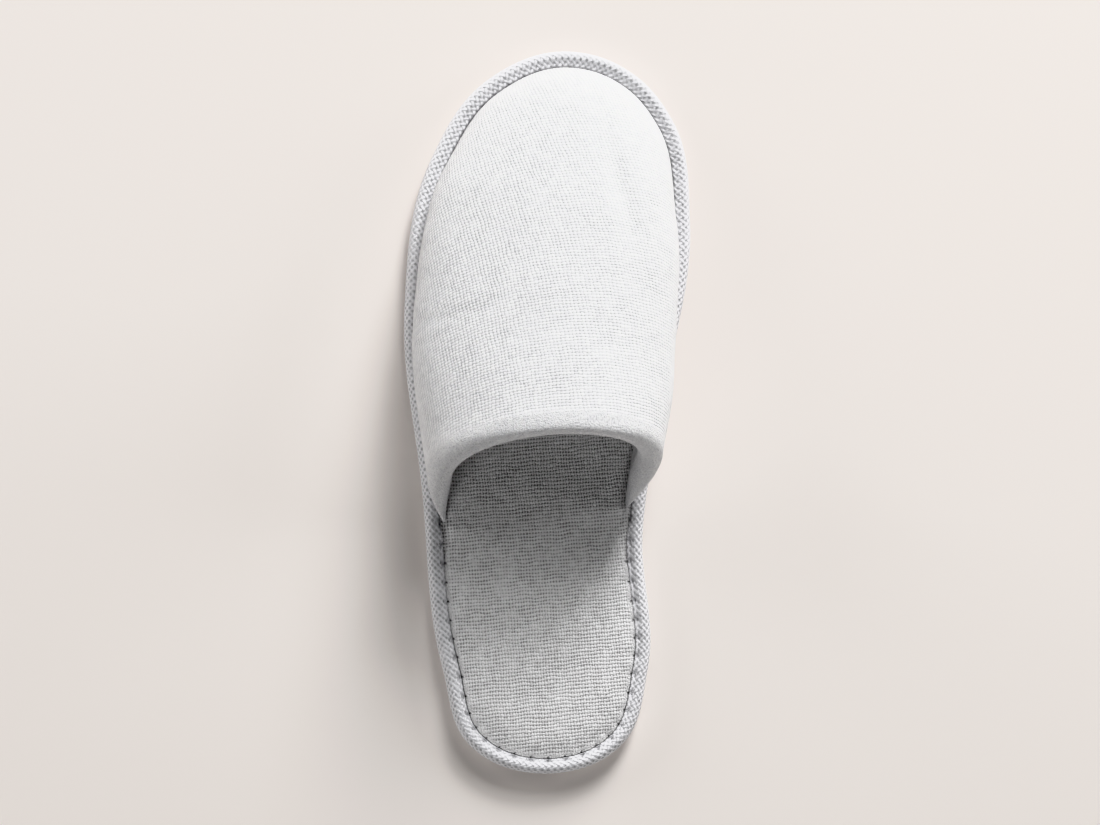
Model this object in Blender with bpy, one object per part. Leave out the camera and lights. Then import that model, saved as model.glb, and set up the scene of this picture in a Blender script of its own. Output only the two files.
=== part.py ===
"""A closed-toe hotel slipper for the left foot, built as its maker assembles it.

+X is the inner (big-toe) side, +Y points to the toe and +Z is up. The floor is z = 0, and the origin
is under the middle of the slipper's box. Tables are in millimetres, and everything else in metres.

    outsole   the foam sole with its non-slip cloth, pinched thin round its edge
    insole    the padded footbed that lies on it
    binding   the tape folded round both edges, which also holds down the upper's edge
    upper     the closed-toe vamp, one hollow wall of foam-backed cloth with a rolled throat
"""

import math

import bmesh
import bpy
from mathutils import Vector
from mathutils.geometry import interpolate_bezier

MM = 0.001

# ---------------------------------------------------------------- driving sizes
GAP = 0.3 * MM  # between two pieces that touch
STATIONS = 112  # round the sole's rim
POINTS_PER_SPAN = 40  # on a smooth curve, between two landmarks

TAPE_WIDTH = {"heel": 5.2 * MM, "toe": 6.9 * MM}  # seen from above, and between them in proportion

WALL = 3.0 * MM  # foam-backed cloth of the upper
PINCHED_WALL = 2.4 * MM  # the same, squeezed by its seam
PINCH_SHARE = 0.3  # of a section, from the seam up to the wall's full thickness
HEM = 6.4 * MM  # the same wall where it is turned in at the throat
HEM_WIDTH = 7.0 * MM  # from the throat to where the turned-in cloth starts to thin
HEM_FADE = 11.0 * MM
FOOT_RISE = 1.6 * MM  # the upper stands straight up this far out of its seam
LEG_END = {"inner": -39.0 * MM, "outer": -43.0 * MM}  # how far back each leg is sewn, along Y

SIDE_COLUMNS = 24  # of the upper, from the toe to the hem on one side
HEM_COLUMNS = 4
NOSE_POINTS = 5  # round the rolled edge of the throat
WALL_ROWS = 15  # from the seam up to the crest
NEAR = 1 * MM  # how far to look along a line for its direction
CIRCLE_SHARE = 0.35  # handle over chord that draws a circle's eighth

# The sole's rim from above, from the back of the heel round by the inner side.
SOLE_RIM = (
    # landmark, side_mm, forward_mm
    ("heel back", 0.0, -142.5),
    ("heel round, inner", 30.2, -130.3),
    ("heel side, inner", 39.5, -102.0),
    ("arch, inner", 37.6, -48.0),
    ("arch to ball", 47.0, 9.0),
    ("ball, inner", 56.8, 74.0),
    ("big toe side", 50.0, 115.2),
    ("big toe round", 34.0, 134.0),
    ("toe tip", 9.0, 142.5),
    ("small toe round", -24.4, 130.3),
    ("small toe side", -46.5, 98.1),
    ("ball, outer", -56.5, 40.0),
    ("waist, outer", -49.5, -31.0),
    ("heel side, outer", -41.3, -101.0),
    ("heel round, outer", -31.0, -130.8),
)

# The upper's highest line, from above the toes back to the throat.
CREST = (
    # landmark, side_mm, forward_mm, height_mm
    ("over the toes", 10.0, 104.0, 32.0),
    ("toe box", 9.0, 77.0, 40.5),
    ("ball", 7.5, 47.0, 48.5),
    ("instep", 6.0, 18.0, 56.0),
    ("throat", 4.5, -7.5, 62.5),
)

# The upper's sections, each a curve from the seam up to the crest. Share runs along the seam from the
# toe to the end of a leg. Flare leans the wall out over the tape and lean tips it forward, where it
# leaves the seam. Rise is its fullness low down and reach its fullness at the crest, where 0.55 draws
# an ellipse.
SECTIONS = (
    # place, share, inner_flare_deg, outer_flare_deg, lean_deg, rise, inner_reach, outer_reach
    ("toe", 0.00, -18.0, -18.0, 0.0, 0.58, 0.50, 0.50),
    ("toe round", 0.22, -10.0, 1.0, 0.0, 0.60, 0.52, 0.52),
    ("ball", 0.50, 18.0, 27.0, 5.0, 0.70, 0.54, 0.52),
    ("waist", 0.78, 36.0, 34.0, 16.0, 0.82, 0.56, 0.48),
    ("throat", 1.00, 33.0, 28.0, 31.0, 0.94, 0.56, 0.40),
)
CREST_CROWDING = 1.35  # above 1, more sections end over the toes
TURN_SHARE = 0.55  # of the seam, in which the sections turn from lengthways to across

# The sections below give how far in from the rim each point lies, in widths of the tape there.
# The tape's runs from its lower lip round the bead to its upper lip and back along the channel.
BINDING_SECTION = (
    # widths_in, height_mm
    (1.00, 0.9),
    (0.79, 0.4),
    (0.48, 0.3),
    (0.23, 1.1),
    (0.06, 2.8),
    (0.00, 4.8),
    (0.06, 6.8),
    (0.23, 8.4),
    (0.48, 9.2),
    (0.79, 8.9),
    (1.00, 8.0),
    (1.00, 7.5),
    (0.21, 7.5),
    (0.17, 7.1),
    (0.17, 2.1),
    (0.21, 1.7),
    (1.00, 1.7),
)

OUTSOLE_SECTION = (
    # widths_in, height_mm: from the flat underside round the pinched edge to the top
    (1.30, 0.0),
    (1.08, 2.0),
    (0.24, 2.0),
    (0.24, 4.5),
)

INSOLE_SECTION = (
    # widths_in, widths_in_under_the_upper, height_mm: from the underside round the edge to the footbed
    (0.24, 0.24, 4.8),
    (0.24, 0.24, 7.2),
    (1.08, 1.58, 7.2),
    (1.28, 1.80, 7.9),
    (1.64, 2.20, 8.5),
    (2.30, 2.90, 8.7),
)
SEAM_HEIGHT = INSOLE_SECTION[1][-1] * MM + GAP  # the upper stands on the insole's stitched edge
FOREFOOT_START = -66.0 * MM  # behind the legs, where the groove under the upper's wall begins
FOREFOOT_FULL = -50.0 * MM

MATERIALS = {
    # node: base colour, roughness
    "outsole": ((0.60, 0.57, 0.55), 0.90),
    "insole": ((0.72, 0.72, 0.73), 0.95),
    "binding": ((0.80, 0.80, 0.81), 0.85),
    "upper": ((0.86, 0.86, 0.87), 0.95),
}


# ---------------------------------------------------------------- curves
def smooth_curve(points, closed):
    """A smooth line through the points. Each tangent is the one of the circle through its neighbours."""
    count = len(points)
    tangents = []
    for i, point in enumerate(points):
        before = points[i - 1] if closed or i > 0 else point
        after = points[(i + 1) % count] if closed or i < count - 1 else point
        back, ahead = point - before, after - point
        tangents.append((back * ahead.length_squared + ahead * back.length_squared).normalized())
    if not closed:
        tangents[0] = (points[1] - points[0]).normalized()
        tangents[-1] = (points[-1] - points[-2]).normalized()
    line = []
    for i in range(count if closed else count - 1):
        start, end = points[i], points[(i + 1) % count]
        handle = CIRCLE_SHARE * (end - start).length
        span = interpolate_bezier(
            start,
            start + tangents[i] * handle,
            end - tangents[(i + 1) % count] * handle,
            end,
            POINTS_PER_SPAN + 1,
        )
        line.extend(span[:-1])
    return line if closed else line + [points[-1]]


def lengths_along(line):
    """The distance from the first point to each point of a line."""
    total = [0.0]
    for a, b in zip(line, line[1:]):
        total.append(total[-1] + (b - a).length)
    return total


def at_length(line, lengths, distance):
    """The point of a line that lies this far along it."""
    low, high = 0, len(lengths) - 1
    while high - low > 1:
        middle = (low + high) // 2
        low, high = (middle, high) if lengths[middle] <= distance else (low, middle)
    share = (distance - lengths[low]) / (lengths[high] - lengths[low])
    return line[low].lerp(line[high], share)


def smoothstep(value):
    value = min(1.0, max(0.0, value))
    return value * value * (3 - 2 * value)


def table_value(column, share):
    """A column of SECTIONS at a share of the seam, on a smooth curve through its rows."""
    shares = [row[1] for row in SECTIONS]
    values = [row[column] for row in SECTIONS]
    i = max(k for k in range(len(shares) - 1) if shares[k] <= share)

    def slope(k):
        a, b = max(k - 1, 0), min(k + 1, len(shares) - 1)
        return (values[b] - values[a]) / (shares[b] - shares[a])

    width = shares[i + 1] - shares[i]
    t = (share - shares[i]) / width
    return (
        values[i] * (1 + 2 * t) * (1 - t) ** 2
        + values[i + 1] * t * t * (3 - 2 * t)
        + slope(i) * width * t * (1 - t) ** 2
        - slope(i + 1) * width * t * t * (1 - t)
    )


# ---------------------------------------------------------------- the sole's rim
def make_rim():
    """The rim as a closed line, moved so that its box is centred on the origin."""
    points = [Vector((side, forward, 0)) * MM for _, side, forward in SOLE_RIM]
    line = smooth_curve(points, closed=True)
    middle = Vector(
        [(min(p[k] for p in line) + max(p[k] for p in line)) / 2 for k in range(3)]
    )
    return [p - middle for p in line]


RIM = make_rim()
RIM_LOOP = RIM + RIM[:1]
RIM_LENGTHS = lengths_along(RIM_LOOP)
RIM_LENGTH = RIM_LENGTHS[-1]
TOE = max(range(len(RIM)), key=lambda i: RIM[i].y)  # the rim runs along the inner side to the toe


def rim_point(distance, inset=0.0, height=0.0):
    """A point this far round the rim, moved in from it and up."""

    def place(along):
        return at_length(RIM_LOOP, RIM_LENGTHS, along % RIM_LENGTH)

    tangent = place(distance + NEAR) - place(distance - NEAR)
    inward = Vector((-tangent.y, tangent.x, 0)).normalized()
    return place(distance) + inward * inset + Vector((0, 0, height))


def tape_width(distance):
    """The width of the tape this far round the rim: it widens from the heel to the toe."""
    forward = 0.5 + 0.5 * rim_point(distance).y / RIM[TOE].y
    return TAPE_WIDTH["heel"] + (TAPE_WIDTH["toe"] - TAPE_WIDTH["heel"]) * forward


def rim_outward(distance):
    return (rim_point(distance) - rim_point(distance, inset=NEAR)).normalized()


# ---------------------------------------------------------------- the upper's surface
CREST_LINE = smooth_curve([Vector(row[1:]) * MM for row in CREST], closed=False)
CREST_LENGTHS = lengths_along(CREST_LINE)
SIDES = {"inner": range(TOE + 1), "outer": range(TOE, len(RIM))}
SEAM_LENGTH = {  # from the toe to the end of each leg, round the rim
    side: RIM_LENGTHS[min(points, key=lambda i: abs(RIM[i].y - LEG_END[side]))] - RIM_LENGTHS[TOE]
    for side, points in SIDES.items()
}
HEM_START = 1 - (HEM_WIDTH + HEM_FADE) / SEAM_LENGTH["outer"]


def crest_at(share):
    """The crest's point and its direction towards the toe, from the toes (0) to the throat (1)."""
    length = CREST_LENGTHS[-1]
    point = at_length(CREST_LINE, CREST_LENGTHS, share * length)
    ahead = at_length(CREST_LINE, CREST_LENGTHS, max(0.0, share * length - NEAR))
    behind = at_length(CREST_LINE, CREST_LENGTHS, min(length, share * length + NEAR))
    return point, (ahead - behind).normalized()


def section_curve(side, share, depth):
    """The four Bezier points of one section, at a depth into the wall from its outer face."""
    sign = 1 if side == "inner" else -1
    along = RIM_LENGTHS[TOE] + SEAM_LENGTH[side] * share
    foot = rim_point(along, tape_width(along) + GAP + depth, SEAM_HEIGHT + FOOT_RISE)
    flare = math.radians(table_value(2 if side == "inner" else 3, share))
    lean = math.radians(table_value(4, share))
    leaving = rim_outward(along) * math.sin(flare) + Vector((0, 0, math.cos(flare)))
    leaving = (leaving + Vector((0, math.tan(lean), 0))).normalized()

    crest, forwards = crest_at(share**CREST_CROWDING)
    crest = crest - forwards.cross(Vector((-1, 0, 0))).normalized() * depth
    turn = math.radians(90) * smoothstep(share / TURN_SHARE)
    arriving = forwards * math.cos(turn) + Vector((sign, 0, 0)) * math.sin(turn)

    spread = Vector((crest.x - foot.x, crest.y - foot.y)).length
    rise = table_value(5, share) * (crest.z - foot.z)
    reach = table_value(6 if side == "inner" else 7, share) * spread
    return foot, foot + leaving * rise, crest + arriving * reach, crest


def wall_depth(share, row):
    """The wall's thickness: pinched in the seam, and thick in the throat's hem above it."""
    to_throat = (1 - share) * SEAM_LENGTH["outer"]
    in_hem = 1 - smoothstep((to_throat - HEM_WIDTH) / HEM_FADE)
    off_seam = smoothstep(row / (WALL_ROWS * PINCH_SHARE))
    full = WALL + (HEM - WALL) * in_hem
    return PINCHED_WALL + (full - PINCHED_WALL) * off_seam


def wall_column(side, share, inside):
    """One section as a column of points from the seam to the crest, on the outer or the inner face."""
    points = []
    for row in range(WALL_ROWS + 1):
        depth = wall_depth(share, row) if inside else 0.0
        curve = section_curve(side, share, depth)
        if row == 0:
            points.append(curve[0] - Vector((0, 0, FOOT_RISE)))
        points.append(interpolate_bezier(*curve, WALL_ROWS + 1)[row])
    return points


def nose_columns(side):
    """The rolled edge of the throat on one side, from the outer face round to the inner one."""
    outer, inner = wall_column(side, 1.0, False), wall_column(side, 1.0, True)
    ahead = wall_column(side, HEM_START, False)
    columns = []
    for k in range(1, NOSE_POINTS + 1):
        angle = math.pi * k / (NOSE_POINTS + 1)
        column = []
        for out, within, before in zip(outer, inner, ahead):
            middle, radius = (out + within) / 2, (out - within) / 2
            away = out - before
            away = (away - away.project(radius)).normalized() * radius.length
            column.append(middle + radius * math.cos(angle) + away * math.sin(angle))
        columns.append(column)
    return columns


def side_shares():
    """Where the sections of one side stand, close together in the hem."""
    before = [HEM_START * k / SIDE_COLUMNS for k in range(SIDE_COLUMNS)]
    return before + [1 - (1 - HEM_START) * k / HEM_COLUMNS for k in range(HEM_COLUMNS, -1, -1)]


# ---------------------------------------------------------------- meshes and objects
def bridge(bm, first, second):
    """Quads between two closed rings of the same count."""
    for i in range(len(first)):
        j = (i + 1) % len(first)
        bm.faces.new((first[i], first[j], second[j], second[i]))


def mesh_object(name, bm, sharp_deg):
    """Turns a bmesh into the node of this name, with its material."""
    bmesh.ops.recalc_face_normals(bm, faces=bm.faces)
    mesh = bpy.data.meshes.new(name)
    bm.to_mesh(mesh)
    bm.free()
    mesh.shade_smooth()
    mesh.set_sharp_from_angle(angle=math.radians(sharp_deg))
    colour, roughness = MATERIALS[name]
    material = bpy.data.materials.new(name)
    material.use_nodes = True
    shader = material.node_tree.nodes["Principled BSDF"]
    shader.inputs["Base Color"].default_value = (*colour, 1)
    shader.inputs["Roughness"].default_value = roughness
    mesh.materials.append(material)
    collection.objects.link(bpy.data.objects.new(name, mesh))


def slab(name, rings):
    """A closed slab from rings that run from its underside, round its edge, to its top."""
    bm = bmesh.new()
    loops = [[bm.verts.new(point) for point in ring] for ring in rings]
    for first, second in zip(loops, loops[1:]):
        bridge(bm, first, second)
    bm.faces.new(loops[0])
    bm.faces.new(loops[-1])
    mesh_object(name, bm, sharp_deg=40)


def rim_distances():
    return [RIM_LENGTH * i / STATIONS for i in range(STATIONS)]


def edge_ring(widths_in, height):
    """A ring of points round the sole: how far in it lies, in widths of the tape, at each of them."""
    return [
        rim_point(distance, widths_in(distance) * tape_width(distance), height * MM)
        for distance in rim_distances()
    ]


def make_outsole():
    slab("outsole", [edge_ring(lambda _: inward, height) for inward, height in OUTSOLE_SECTION])


def make_insole():
    """The footbed starts further in where the upper's wall stands on the insole's stitched edge."""

    def under_upper(distance):
        forward = rim_point(distance).y - FOREFOOT_START
        return smoothstep(forward / (FOREFOOT_FULL - FOREFOOT_START))

    rings = []
    for behind, under, height in INSOLE_SECTION:
        rings.append(edge_ring(lambda d: behind + (under - behind) * under_upper(d), height))
    slab("insole", rings)


def make_binding():
    """The tape: its section's rings joined to each other and the last one to the first."""
    bm = bmesh.new()
    loops = []
    for inward, height in BINDING_SECTION:
        loops.append([bm.verts.new(point) for point in edge_ring(lambda _: inward, height)])
    for first, second in zip(loops, loops[1:] + loops[:1]):
        bridge(bm, first, second)
    mesh_object("binding", bm, sharp_deg=50)


def make_upper():
    """The vamp: columns of points round a closed loop, over the outer face, round the roll of the throat,
    back over the inner face and round the roll again. The columns of the two sides meet at the crest."""
    shares = side_shares()
    around = [wall_column("inner", share, False) for share in reversed(shares)]
    around += [wall_column("outer", share, False) for share in shares[1:]]
    around += nose_columns("outer")
    around += [wall_column("outer", share, True) for share in reversed(shares)]
    around += [wall_column("inner", share, True) for share in shares[1:]]
    around += reversed(nose_columns("inner"))

    bm = bmesh.new()
    columns = [[bm.verts.new(point) for point in column] for column in around]
    loops = list(zip(*columns))
    for first, second in zip(loops, loops[1:]):
        bridge(bm, first, second)
    bm.faces.new(loops[0])
    bmesh.ops.remove_doubles(bm, verts=bm.verts, dist=0.01 * MM)
    mesh_object("upper", bm, sharp_deg=50)


# ---------------------------------------------------------------- build
for old in list(bpy.data.objects):
    bpy.data.objects.remove(old)
collection = bpy.data.collections.new("hotel slipper")
bpy.context.scene.collection.children.link(collection)

make_outsole()
make_insole()
make_binding()
make_upper()
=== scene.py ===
# %% [markdown]
# # A closed-toe hotel slipper for the left foot
#
# A hotel slipper is a flat sole of two layers, a cloth-backed foam sole under a padded footbed, with
# a vamp of foam-backed cloth sewn between them. One bias tape is folded round all the raw edges and
# sewn down, and that seam draws every layer in at each stitch.
#
# The measured model already fixes the form, so this lesson is about cloth: it rebuilds each soft
# piece on the same named sizes, with finer meshes that can hold the puckers of a seam, and gives
# each one its weave. The first cell loads the measured model, the frame that all pieces fit.

# %% Load the measured model
import math

import bmesh
import bpy
import numpy as np
from mathutils import Matrix, Vector


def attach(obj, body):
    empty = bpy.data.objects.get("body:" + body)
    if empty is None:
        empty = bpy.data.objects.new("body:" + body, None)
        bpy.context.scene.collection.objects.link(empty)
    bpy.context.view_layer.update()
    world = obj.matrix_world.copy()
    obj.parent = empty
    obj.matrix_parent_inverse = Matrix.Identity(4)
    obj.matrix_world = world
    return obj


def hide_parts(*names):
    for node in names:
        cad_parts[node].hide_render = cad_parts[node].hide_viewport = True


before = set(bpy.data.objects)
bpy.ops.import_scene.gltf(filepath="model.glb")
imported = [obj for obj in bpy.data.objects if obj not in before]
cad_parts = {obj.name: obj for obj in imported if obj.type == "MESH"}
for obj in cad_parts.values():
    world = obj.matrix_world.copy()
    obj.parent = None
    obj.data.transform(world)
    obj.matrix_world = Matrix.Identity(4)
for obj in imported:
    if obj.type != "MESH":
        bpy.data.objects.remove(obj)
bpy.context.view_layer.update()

MM = 0.001

# %% [markdown]
# ## The sizes that all pieces share
#
# A shoemaker works from a last and a few patterns: the outline of the sole, the profile over the
# instep, and the shape of the vamp at some places along its seam. The same three patterns are
# repeated here in millimetres, because every cloth piece is laid out along the rim of the sole.
# +X is the inner, big-toe side, +Y points to the toe, and the floor is z = 0.

# %% The patterns of the last
GAP = 0.3 * MM  # left between the tape and the foot of the vamp
TAPE_WIDTH = {"heel": 5.2 * MM, "toe": 6.9 * MM}
SOLE_RIM = (
    # landmark, side_mm, forward_mm
    ("heel back", 0.0, -142.5),
    ("heel round, inner", 30.2, -130.3),
    ("heel side, inner", 39.5, -102.0),
    ("arch, inner", 37.6, -48.0),
    ("arch to ball", 47.0, 9.0),
    ("ball, inner", 56.8, 74.0),
    ("big toe side", 50.0, 115.2),
    ("big toe round", 34.0, 134.0),
    ("toe tip", 9.0, 142.5),
    ("small toe round", -24.4, 130.3),
    ("small toe side", -46.5, 98.1),
    ("ball, outer", -56.5, 40.0),
    ("waist, outer", -49.5, -31.0),
    ("heel side, outer", -41.3, -101.0),
    ("heel round, outer", -31.0, -130.8),
)
CREST = (
    # landmark, side_mm, forward_mm, height_mm
    ("over the toes", 10.0, 104.0, 32.0),
    ("toe box", 9.0, 77.0, 40.5),
    ("ball", 7.5, 47.0, 48.5),
    ("instep", 6.0, 18.0, 56.0),
    ("throat", 4.5, -7.5, 62.5),
)
SECTIONS = (
    # place, share, inner_flare_deg, outer_flare_deg, lean_deg, rise, inner_reach, outer_reach
    ("toe", 0.00, -18.0, -18.0, 0.0, 0.58, 0.50, 0.50),
    ("toe round", 0.22, -20.0, 1.0, 0.0, 0.60, 0.52, 0.52),
    ("ball", 0.50, 9.0, 27.0, 5.0, 0.70, 0.54, 0.52),
    ("waist", 0.78, 36.0, 34.0, 16.0, 0.82, 0.56, 0.50),
    ("throat", 1.00, 33.0, 28.0, 31.0, 0.94, 0.56, 0.46),
)
CREST_CROWDING = 1.35  # sections stand closer together on the crest at the toes
TURN_SHARE = 0.55  # up to this share, a section arrives at the crest more and more from the side
SEAM_HEIGHT = 7.5 * MM
FOOT_RISE = 1.6 * MM  # how far the wall stands straight up before it curves
LEG_END = {"inner": -36.5 * MM, "outer": -41.0 * MM}  # how far back the vamp is sewn in
WALL, PINCHED_WALL, HEM = 3.0 * MM, 2.4 * MM, 9.0 * MM
HEM_WIDTH, HEM_FADE = 7.0 * MM, 11.0 * MM
POINTS_PER_SPAN = 40
CIRCLE_SHARE = 0.35  # the handle of a curve over its chord, as for a wide arc
NEAR = 1 * MM  # the step over which a direction is measured

# %% [markdown]
# A smooth line through the landmarks is the French curve of this pattern. Its tangent at a landmark
# is that of the circle through the neighbours, which keeps the curve even where they are unevenly
# spaced. After that, every place on the rim is named by its distance along it, as with a tape
# measure, so a stitch every few millimetres is simply a step in that distance.

# %% A line through the landmarks, and a tape measure for it
def bezier(a, b, c, d, t):
    """Points t, from 0 to 1, of the curve from a to d with its handles at b and c."""
    return a * (1 - t) ** 3 + b * 3 * t * (1 - t) ** 2 + c * 3 * t * t * (1 - t) + d * t**3


def smooth_line(points, closed):
    """A smooth line through landmarks in mm, as closely spaced points in metres."""
    points = np.array(points, float) * MM
    count = len(points)
    tangents = []
    for i, point in enumerate(points):
        before = points[i - 1] if closed or i > 0 else point
        after = points[(i + 1) % count] if closed or i < count - 1 else point
        back, ahead = point - before, after - point
        tangents.append(back * (ahead @ ahead) + ahead * (back @ back))
    if not closed:
        tangents[0] = points[1] - points[0]
        tangents[-1] = points[-1] - points[-2]
    tangents = [t / np.linalg.norm(t) for t in tangents]
    t = np.linspace(0, 1, POINTS_PER_SPAN, endpoint=False)[:, None]
    line = []
    for i in range(count if closed else count - 1):
        j = (i + 1) % count
        handle = CIRCLE_SHARE * np.linalg.norm(points[j] - points[i])
        leaving, arriving = points[i] + tangents[i] * handle, points[j] - tangents[j] * handle
        line.append(bezier(points[i], leaving, arriving, points[j], t))
    return np.vstack(line + [points[:1] if closed else points[-1:]])


def lengths_along(line):
    """How far along a line each of its points lies."""
    steps = np.linalg.norm(np.diff(line, axis=0), axis=1)
    return np.concatenate([[0], np.cumsum(steps)])


def at_length(line, lengths, distance):
    """The places on a line at these distances along it."""
    return np.stack([np.interp(distance, lengths, line[:, k]) for k in range(line.shape[1])], -1)


RIM = smooth_line([row[1:] for row in SOLE_RIM], closed=True)
RIM -= (RIM.min(0) + RIM.max(0)) / 2
RIM_LENGTHS = lengths_along(RIM)
RIM_LENGTH = RIM_LENGTHS[-1]
TOE = int(np.argmax(RIM[:, 1]))
CREST_LINE = smooth_line([row[1:] for row in CREST], closed=False)
CREST_LENGTHS = lengths_along(CREST_LINE)
print(f"rim {1000 * RIM_LENGTH:.0f} mm round, crest {1000 * CREST_LENGTHS[-1]:.0f} mm long")

# %% Places on the rim
def smoothstep(value):
    """A ramp from 0 to 1 that starts and ends level."""
    value = np.clip(value, 0.0, 1.0)
    return value * value * (3 - 2 * value)


def ramp(value, start, length):
    """0 before the start and 1 past this length from it. A negative length runs the other way."""
    return smoothstep((value - start) / length)


def rim_place(distance):
    """The places on the rim at these distances round it, from the back of the heel."""
    return at_length(RIM, RIM_LENGTHS, np.mod(distance, RIM_LENGTH))


def rim_inward(distance):
    """The direction in from the rim, level with the floor."""
    tangent = rim_place(distance + NEAR) - rim_place(distance - NEAR)
    tangent /= np.linalg.norm(tangent, axis=-1, keepdims=True)
    return np.stack([-tangent[..., 1], tangent[..., 0]], -1)


def tape_width(distance):
    """The tape is wider at the toe than at the heel."""
    forward = 0.5 + 0.5 * rim_place(distance)[..., 1] / RIM[TOE, 1]
    return TAPE_WIDTH["heel"] + (TAPE_WIDTH["toe"] - TAPE_WIDTH["heel"]) * forward


def from_rim(distance, inset, height):
    """Points this far round the rim, in from it, and above the floor."""
    flat = rim_place(distance) + rim_inward(distance) * np.asarray(inset)[..., None]
    return np.concatenate([flat, np.broadcast_to(height, flat.shape[:-1])[..., None]], -1)


SIDES = {"inner": slice(0, TOE + 1), "outer": slice(TOE, None)}
SEAM_LENGTH = {}
for side, part_of_rim in SIDES.items():
    end = np.argmin(abs(RIM[part_of_rim, 1] - LEG_END[side]))
    SEAM_LENGTH[side] = RIM_LENGTHS[part_of_rim][end] - RIM_LENGTHS[TOE]
print("vamp seam from the toe:", {k: round(1000 * v) for k, v in SEAM_LENGTH.items()}, "mm")

# %% [markdown]
# ## One stitch length for the whole seam
#
# The machine that sews the tape makes a stitch every 7.6 mm. Each needle hole pulls the cloth down
# and together, and the cloth between two holes stands up in a small pillow. All the edge pieces use
# the same two measures: how close a place is to a needle hole, and how far along it lies between two.

# %% Needle holes along the rim
STITCH_SETTING = 7.6 * MM
STITCH_COUNT = round(RIM_LENGTH / STITCH_SETTING)
STITCH = RIM_LENGTH / STITCH_COUNT


def hole_nearness(distance, reach):
    """1 at a needle hole, falling to 0 this far from it along the rim."""
    off = np.abs(np.mod(distance / STITCH + 0.5, 1.0) - 0.5) * STITCH
    return 1 - smoothstep(off / reach)


def under_vamp(distance, start=-52 * MM, full=-40 * MM):
    """0 where the seam runs free round the heel, 1 where the vamp is sewn into it."""
    return ramp(rim_place(distance)[..., 1], start, full - start)


print(f"{STITCH_COUNT} stitches of {1000 * STITCH:.2f} mm")

# %% [markdown]
# ## Cloth starts as a flat grid
#
# Real cloth is a flat grid of threads that is pulled into shape, and the meshes here are made the
# same way: a grid from bmesh, its points moved to where the pattern says, and its touching edges
# merged. A grid keeps rows and columns, so the cloth's own thread coordinates can be laid on it as
# a UV map in millimetres, and every weave then follows the surface as thread does.

# %% A flat grid pulled into place
TOUCHING = 0.004 * MM  # points closer than this are merged

collection = bpy.data.collections.new("hotel slipper")
bpy.context.scene.collection.children.link(collection)


def closed_round(values, axis):
    """A grid of values with its first column (axis 0) or row (axis 1) repeated at the end."""
    return np.concatenate([values, np.take(values, [0], axis)], axis)


def pulled_grid(name, places, threads, marks, close_rows=False):
    """A mesh from a grid of places [column, row, xyz], with its threads [column, row, uv] in mm.

    The columns go all the way round, and so may the rows. Ends that are not joined are filled with a
    flat face. marks are values [column, row] from 0 to 1, kept as attributes of the same name.
    """
    if len(threads) == len(places):
        threads = closed_round(threads, 0)
    closing_axes = (0, 1) if close_rows else (0,)
    for axis in closing_axes:
        places = closed_round(places, axis)
        marks = {title: closed_round(values, axis) for title, values in marks.items()}
    columns, rows = places.shape[:2]
    bm = bmesh.new()
    bmesh.ops.create_grid(bm, x_segments=columns - 1, y_segments=rows - 1, size=1)
    layers = {title: bm.verts.layers.float.new(title) for title in marks}
    uv = bm.loops.layers.uv.new("threads")
    at = {}
    for vert in bm.verts:
        column = round((vert.co.x + 1) / 2 * (columns - 1))
        row = round((vert.co.y + 1) / 2 * (rows - 1))
        at[vert] = (column, row)
        vert.co = places[column, row]
        for title, layer in layers.items():
            vert[layer] = marks[title][column, row]
    for face in bm.faces:
        for loop in face.loops:
            loop[uv].uv = threads[at[loop.vert]]
    bmesh.ops.remove_doubles(bm, verts=bm.verts, dist=TOUCHING)
    open_edges = [edge for edge in bm.edges if edge.is_boundary]
    if open_edges:
        bmesh.ops.holes_fill(bm, edges=open_edges, sides=0)
    bmesh.ops.recalc_face_normals(bm, faces=bm.faces)
    return finished(name, bm)


def finished(name, bm):
    """Turns a bmesh into a smooth-shaded object of the slipper and says how large it is."""
    mesh = bpy.data.meshes.new(name)
    bm.to_mesh(mesh)
    bm.free()
    mesh.shade_smooth()
    piece = bpy.data.objects.new(name, mesh)
    collection.objects.link(piece)
    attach(piece, "root")
    mesh.calc_loop_triangles()
    print(f"{name}: {len(mesh.loop_triangles)} triangles")
    return piece


# %% [markdown]
# Sewn cloth is never quite even. A few long waves that cross at odd angles, from a fixed seed, lift
# and lower it by a tenth of a millimetre or two, which is just enough for raking light to find.

# %% Gentle unevenness
UNEVENNESS = {
    # piece: height_mm, wave_mm, seed
    "vamp": (0.16, 26, 3),
    "footbed": (0.12, 34, 8),
    "sole": (0.10, 22, 5),
}
WAVES = 6
WAVE_SPREAD = (0.7, 1.5)  # the shortest and the longest wave, over the one in the table


def ripple(piece, x, y):
    """A smooth, repeatable unevenness up and down, in metres, from a few crossing waves."""
    height_mm, wave_mm, seed = UNEVENNESS[piece]
    rng = np.random.default_rng(seed)
    total = 0
    for _ in range(WAVES):
        angle, phase = rng.uniform(0, math.pi), rng.uniform(0, 2 * math.pi)
        k = 2 * math.pi / (wave_mm * MM * rng.uniform(*WAVE_SPREAD))
        total = total + np.sin(k * (x * math.cos(angle) + y * math.sin(angle)) + phase)
    return height_mm * MM * total / (WAVES / 2)


# %% [markdown]
# ## The vamp
#
# The vamp is one piece of terry-like cloth laminated to foam, about 3 mm thick, bent over the foot
# and sewn down along both sides. Each cross-section rises out of the seam and arrives level at the
# crest, so a Bezier curve with four points draws it well. At the throat the cloth is turned in over
# the foam, which makes a soft roll three times as thick as the wall, and a little fuller than the
# measured model's, as padded cloth stands.

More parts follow.
